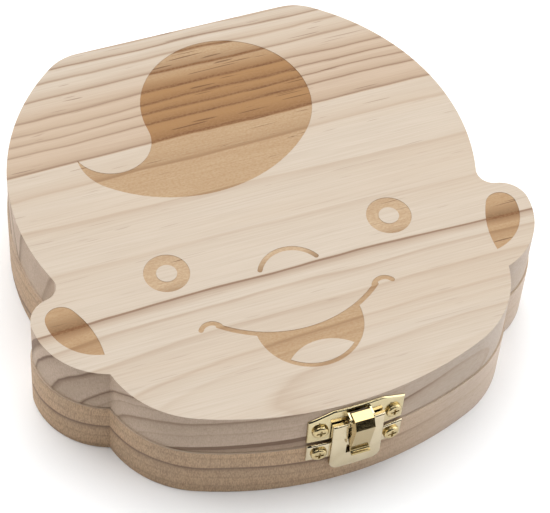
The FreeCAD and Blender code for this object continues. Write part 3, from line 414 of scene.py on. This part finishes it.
def burnt_pine(name, pale):
    """Pine scorched by a fine beam: the rings and the dense wood show through, with a sandy speckle."""
    material, tree, shader = new_material(name)
    place = in_millimetres(tree)
    ring, dense, resin = lid_growth(tree, place)
    fibre = noise(tree, drawn_out(tree, place, BURNT_FIBRES), detail=4.0)
    speck = noise(tree, drawn_out(tree, place, SPECKS))
    more_behind = spread(tree, parts_of(tree, place)[1], 15.0, 40.0, 0.0, 0.05)
    dash = calc(tree, "ADD", noise(tree, drawn_out(tree, place, DASHES), detail=0.0), more_behind)
    dash = spread(tree, dash, 0.78, 0.83, 0.0, 1.0)
    colour = tint(tree, calc(tree, "MULTIPLY", dense, 0.9), pale, BURNT_DENSE)
    colour = tint(tree, calc(tree, "MULTIPLY", resin, 0.85), colour, BURNT_RESIN)
    colour = tint(tree, spread(tree, ring, 0.0, 0.8, 0.0, 1.0), colour, BURNT_RING)
    colour = tint(tree, spread(tree, fibre, 0.35, 0.75, 0.0, 0.32), colour, BURNT_FIBRE)
    colour = tint(tree, spread(tree, speck, 0.38, 0.68, 0.0, 0.42), colour, BURNT_SPECK)
    colour = tint(tree, calc(tree, "MULTIPLY", dash, 0.7), colour, BURNT_DASH)
    tree.links.new(colour, shader.inputs["Base Color"])
    shader.inputs["Roughness"].default_value = 0.75
    shader.inputs["Specular IOR Level"].default_value = 0.2
    raise_grain(tree, shader, calc(tree, "ADD", speck, fibre), strength=0.6, depth=0.05 * MM)
    return material


PALE_LID = (0.483, 0.407, 0.326, 1)
# Wall tones: painted shade on every wall, and painted light lifting those facing left and front
SHADED_LID_WALL = (0.43, 0.345, 0.29, 1)
LIT_TORN_LID_WALL = (0.76, 0.55, 0.39, 1)
lid = worked_copy("lid_block", "lid")
lid.data.materials.append(pine(
    "pine_lid", lid_growth, PALE_LID, SHADED_LID_WALL, LIT_TORN_LID_WALL, lit_torn_share=0.48, fuzziness=1.2,
))
lid.data.materials.append(burnt_pine("burnt_pine", (0.405, 0.285, 0.17, 1)))
lid.data.materials.append(burnt_pine("scorched_pine", (0.39, 0.262, 0.148, 1)))
lid.data.materials.append(burnt_pine("singed_pine", (0.455, 0.338, 0.218, 1)))
HAIR_AND_MOUTH, EARS, EYES_AND_NOSE = 1, 2, 3
LID_TOP = 28.5 * MM
DEEPEST_BURN = 0.25 * MM
EAR_ROOT_X = 45.0 * MM
EYE_LINE_Y = -12.1 * MM
EYE_REACH = 7 * MM
for face in lid.data.polygons:
    if LID_TOP - DEEPEST_BURN < face.center.z < LID_TOP - SAME_LEVEL:
        if abs(face.center.x) > EAR_ROOT_X:
            face.material_index = EARS
        elif EYE_LINE_Y - EYE_REACH < face.center.y < EYE_LINE_Y + EYE_REACH:
            face.material_index = EYES_AND_NOSE
        else:
            face.material_index = HAIR_AND_MOUTH
BURN_RIM_EASE = 0.08 * MM
BROW_EASE = 0.2 * MM
UNDERSIDE_EASE = 0.08 * MM


def lid_brow(edge):
    return along_walls(edge, LID_TOP)


def lid_underside(edge):
    return along_walls(edge, LID_JOINT)


def burn_rim(edge):
    return level(edge, LID_TOP) and not lid_brow(edge)


ease(lid, burn_rim, BURN_RIM_EASE, 2)
ease(lid, lid_brow, BROW_EASE, 3)
ease(lid, lid_underside, UNDERSIDE_EASE, 2)
finish_piece(lid, "lid", "pine_lid", "lid_block")

# Hinges: two small butt hinges of bright brass sheet, rolled round a pin with peened ends.
# Their leaves lie flat on the back edge and their edges are rounded by tumbling.
HANDLING_MARKS = 0.22
SHALLOW_DENTS = 0.7
RUBBING_MARKS = (0.6, 9.0, 9.0)
BRIGHT_BRASS = (0.67, 0.58, 0.405, 1)
TARNISHED_BRASS = (0.47, 0.37, 0.20, 1)
HINGE_EASE = 0.12 * MM


def brass(name, colour, roughness, wear):
    """Polished brass with fine rubbing marks, slightly clouded by handling."""
    material, tree, shader = new_material(name)
    place = in_millimetres(tree)
    cloud = noise(tree, place, detail=3.0, scale=HANDLING_MARKS)
    dents = noise(tree, place, detail=1.0, scale=SHALLOW_DENTS)
    rub = noise(tree, drawn_out(tree, place, RUBBING_MARKS), detail=4.0)
    shade = tint(tree, spread(tree, cloud, 0.4, 0.75, 0.0, wear), colour, TARNISHED_BRASS)
    tree.links.new(shade, shader.inputs["Base Color"])
    shader.inputs["Metallic"].default_value = 1.0
    rubbed = spread(tree, rub, 0.3, 0.7, -0.04, 0.06)
    clouded = spread(tree, cloud, 0.3, 0.7, -0.03, 0.05)
    gloss = calc(tree, "ADD", calc(tree, "ADD", rubbed, clouded), roughness)
    tree.links.new(gloss, shader.inputs["Roughness"])
    raise_grain(tree, shader, calc(tree, "ADD", rub, dents), strength=0.25, depth=0.02 * MM)
    return material


def every_edge(edge):
    return True


def brass_piece(node_name, body, slot, material, width, *stamped):
    """A brass piece with its edges rounded, those that were stamped from behind much more than the rest."""
    piece = worked_copy(node_name, node_name + "_finished")
    piece.data.materials.append(material)
    for chosen, stamped_width in stamped:
        ease(piece, chosen, stamped_width, 4, clamp=False)
    ease(piece, every_edge, width, 3)
    finish_piece(piece, body, slot, node_name)


brass_sheet = brass("brass_sheet", BRIGHT_BRASS, roughness=0.13, wear=0.35)
for side in ("left", "right"):
    brass_piece(f"{side}_hinge_base_leaf", "base", "brass_sheet", brass_sheet, HINGE_EASE)
    brass_piece(f"{side}_hinge_lid_leaf", "lid", "brass_sheet", brass_sheet, HINGE_EASE)
    brass_piece(f"{side}_hinge_pin", "base", "brass_sheet", brass_sheet, HINGE_EASE)

# Hinge screws: eight small countersunk wood screws with a pressed cross.
# They are brass, a little duller than the leaves that they hold to the base and the lid.
DULL_BRASS = (0.56, 0.45, 0.24, 1)
SCREW_EASE = 0.06 * MM
brass_screw = brass("brass_screw", DULL_BRASS, roughness=0.24, wear=0.5)
for side in ("left", "right"):
    for block in ("base", "lid"):
        for end in ("outer", "inner"):
            brass_piece(f"{side}_hinge_{block}_{end}_screw", block, "brass_screw", brass_screw, SCREW_EASE)

# Clasp: a pressed brass plate on the lid, a keeper on the base, and a folded tongue.
# The tongue swings on a pin between the plate's two lugs and hooks over the keeper.
# The plates follow the chin's curve, and their stamped edges are rounded at the front.
gilt_brass = brass("gilt_brass", (0.61, 0.52, 0.31, 1), roughness=0.12, wear=0.4)
# The tongue's brass is darker as a painted dim reflection, with handling tarnish on top
worn_and_shaded_brass = brass("worn_and_shaded_brass", (0.47, 0.36, 0.17, 1), roughness=0.10, wear=0.5)
CLASP_X = 1.3 * MM
CHIN_CENTRE_Y = 29.0 * MM
# Fronts of the upper plate, the keeper's strip and its raised panel, from the chin's centre
UPPER_FRONT = 87.6 * MM
STRIP_FRONT = 88.0 * MM
PANEL_FRONT = 89.0 * MM
NEAR_FRONT = 0.04 * MM
SCREW_OUT = 8.65 * MM
SCREW_HEIGHTS = (13.3 * MM, 21.4 * MM)
SCREW_HOLE = 1.2 * MM
SLOT_HALF = 3.0 * MM
SLOT_FOOT = 12.0 * MM
SLOT_HEAD = 26.5 * MM
PLATE_EASE = 0.1 * MM
TONGUE_EASE = 0.12 * MM
STAMPED_SHEET = 0.5 * MM
STAMPED_PANEL = 0.42 * MM


def stamped_edge(front):
    """A test for the edges of a curved sheet's front, this far from the chin's centre.

    The rims of the screw holes and of the slot behind the tongue are left out.
    """
    def test(edge):
        reaches = [math.hypot(corner.co.x, corner.co.y - CHIN_CENTRE_Y) for corner in edge.verts]
        on_front = all(abs(reach - front) < NEAR_FRONT for reach in reaches)
        middle = (edge.verts[0].co + edge.verts[1].co) / 2
        sideways = abs(middle.x - CLASP_X)
        from_screws = [math.hypot(sideways - SCREW_OUT, middle.z - rise) for rise in SCREW_HEIGHTS]
        in_hole = min(from_screws) < SCREW_HOLE
        in_slot = sideways < SLOT_HALF and SLOT_FOOT < middle.z < SLOT_HEAD
        return edge.is_convex and on_front and not in_hole and not in_slot
    return test


brass_piece(
    "clasp_upper_plate", "lid", "brass_sheet", gilt_brass, PLATE_EASE,
    (stamped_edge(UPPER_FRONT), STAMPED_SHEET),
)
brass_piece(
    "clasp_keeper", "base", "brass_sheet", brass_sheet, PLATE_EASE,
    (stamped_edge(PANEL_FRONT), STAMPED_PANEL), (stamped_edge(STRIP_FRONT), STAMPED_SHEET),
)
brass_piece("clasp_tongue", "clasp_tongue", "brass_sheet", worn_and_shaded_brass, TONGUE_EASE)
brass_piece("clasp_pin", "lid", "brass_screw", brass_screw, TONGUE_EASE)

# Clasp screws: four pan-head wood screws, two in the lid and two in the base.
# They are brass with a pressed cross, a little duller than the plates that they hold.
for block in ("lid", "base"):
    for side in ("left", "right"):
        brass_piece(f"clasp_{block}_{side}_screw", block, "brass_screw", brass_screw, SCREW_EASE)

# Studio: a pale floor, a wide soft light above and behind, a weaker one at the right, a small one in front.
# The room is bright behind and dim in front. The polished edges mirror its dim side as near black.
FLOOR_SIZE = 4.0
FLOOR_MIDDLE = (0, 1.80, 0)
bpy.ops.object.select_all(action="DESELECT")
bpy.ops.mesh.primitive_plane_add(size=FLOOR_SIZE, location=FLOOR_MIDDLE)
floor = bpy.context.active_object
floor.name = "floor"
paper, _, shader = new_material("pale_paper")
shader.inputs["Base Color"].default_value = (0.95, 0.95, 0.95, 1)
shader.inputs["Roughness"].default_value = 0.9
floor.data.materials.append(paper)
WHITE = (1.0, 1.0, 1.0)
COOL_WHITE = (0.94, 0.97, 1.0)


def soft_light(name, place, aim, width, height, power, colour):
    """A soft box that faces a point."""
    lamp = bpy.data.lights.new(name, "AREA")
    lamp.shape = "RECTANGLE"
    lamp.size = width
    lamp.size_y = height
    lamp.energy = power
    lamp.color = colour
    box = bpy.data.objects.new(name, lamp)
    bpy.context.scene.collection.objects.link(box)
    box.location = place
    box.rotation_euler = (Vector(aim) - Vector(place)).to_track_quat("-Z", "Y").to_euler()


soft_light("top_light", (-0.1, 0.35, 0.95), (0, 0, 0), width=1.5, height=1.1, power=16.0, colour=WHITE)
soft_light("front_light", (0.25, -0.56, 0.79), (0, 0, 0), width=0.45, height=0.2, power=0.85, colour=WHITE)
soft_light(
    "right_light", (0.95, -0.25, 0.45), (0, 0, 0.01), width=1.2, height=1.2, power=11.8, colour=COOL_WHITE,
)

DIM_ROOM, BRIGHT_ROOM = 0.03, 0.6
room = bpy.data.worlds.new("room")
bpy.context.scene.world = room
room.use_nodes = True
tree = room.node_tree
backdrop = tree.nodes["Background"]
outlook = tree.nodes.new("ShaderNodeTexCoord")
towards = parts_of(tree, outlook.outputs["Generated"])
glow = spread(tree, towards[1], -0.2, 0.7, DIM_ROOM, BRIGHT_ROOM)
seen = tree.nodes.new("ShaderNodeLightPath")
strength = calc(tree, "MAXIMUM", glow, seen.outputs["Is Camera Ray"])
tree.links.new(strength, backdrop.inputs["Strength"])
backdrop.inputs["Color"].default_value = (1, 1, 1, 1)

# Camera: the photograph's own angle, a long lens from the front left and well above, slightly rolled.
# It was worked out from the lid's outline, its two eye rings and its straight back edge.
AZIMUTH = math.radians(-24.223)
ELEVATION = math.radians(51.997)
ROLL = math.radians(4.794)
DISTANCE = 546.44 * MM
AIM = Vector((6.953, 5.077, 0.0)) * MM
FOCAL_LENGTH = 147.57
lens = bpy.data.cameras.new("camera")
lens.lens = FOCAL_LENGTH
lens.clip_start = 0.01
camera = bpy.data.objects.new("camera", lens)
bpy.context.scene.collection.objects.link(camera)
backwards = Vector((
    math.sin(AZIMUTH) * math.cos(ELEVATION), -math.cos(AZIMUTH) * math.cos(ELEVATION), math.sin(ELEVATION),
))
facing = backwards.to_track_quat("Z", "Y").to_matrix().to_4x4()
camera.matrix_world = (
    Matrix.Translation(AIM + backwards * DISTANCE) @ facing @ Matrix.Rotation(ROLL, 4, "Z")
)
bpy.context.scene.camera = camera
bpy.context.scene.view_settings.view_transform = "Standard"
